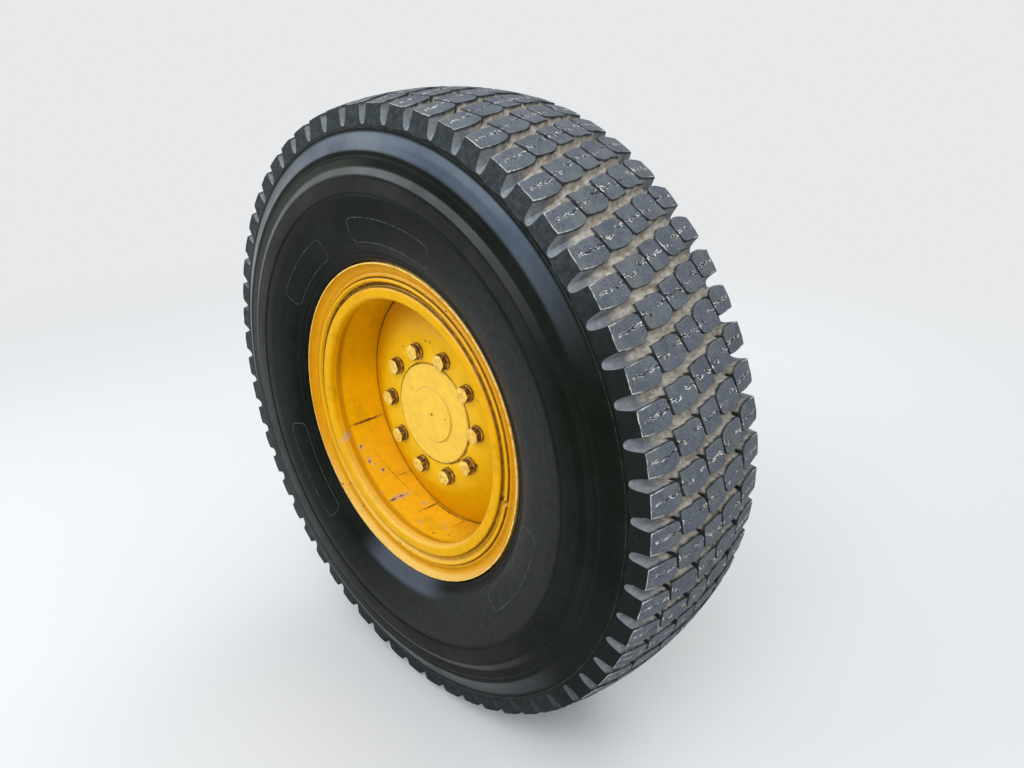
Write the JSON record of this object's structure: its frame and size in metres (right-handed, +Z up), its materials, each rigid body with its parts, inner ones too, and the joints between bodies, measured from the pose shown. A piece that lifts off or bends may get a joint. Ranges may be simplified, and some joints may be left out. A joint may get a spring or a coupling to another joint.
{
  "type": "motor grader rear wheel with its wheel end",
  "caption": "Driven rear wheel of a motor grader: block-tread tyre on a three-piece yellow rim and disc, turning on a brake and bearing housing that bolts to the tandem case.",
  "frame": {"origin": "centre of the wheel end's mounting face, on the wheel's axis", "axes": "+Y along the wheel's axis into the tandem case, +Z up as the machine stands, +X to the right seen from outside the wheel"},
  "size_m": [1.3516, 0.54, 1.3516],
  "materials": {
    "cast_yellow": "painted casting, dusty",
    "rim_yellow": "worn yellow paint with chips",
    "hub_yellow": "paler yellow paint on the pilot, bare steel behind",
    "screw_heads": "yellow paint over rust",
    "housing_hardware": "dull zinc",
    "plated_steel": "zinc plated",
    "valve_brass": "dull brass",
    "cap_plastic": "black plastic",
    "tyre_rubber": "worn rubber with dusty grooves"
  },
  "bodies": {
    "wheel_end": {"brake_housing": "cast_yellow", "bearing_housing": "cast_yellow", "housing_screws": "housing_hardware", "seal_carrier": "cast_yellow", "seal_screws": "housing_hardware", "brake_fitting": "plated_steel", "bleed_screw": "plated_steel", "drain_plug": "housing_hardware"},
    "wheel": {"wheel_shaft": "hub_yellow", "wheel_disc": "rim_yellow", "wheel_screws": "screw_heads", "wheel_washers": "screw_heads", "rim_base": "rim_yellow", "side_ring": "rim_yellow", "lock_ring": "rim_yellow", "rim_patch": "rim_yellow", "valve_stem": "valve_brass", "valve_cap": "cap_plastic", "tyre": "tyre_rubber"}
  },
  "joints": [
    {"name": "wheel_spin", "type": "hinge", "parent": "wheel_end", "child": "wheel", "pos_m": [0, -0.235, 0], "axis": [0, 1, 0], "continuous": true}
  ]
}
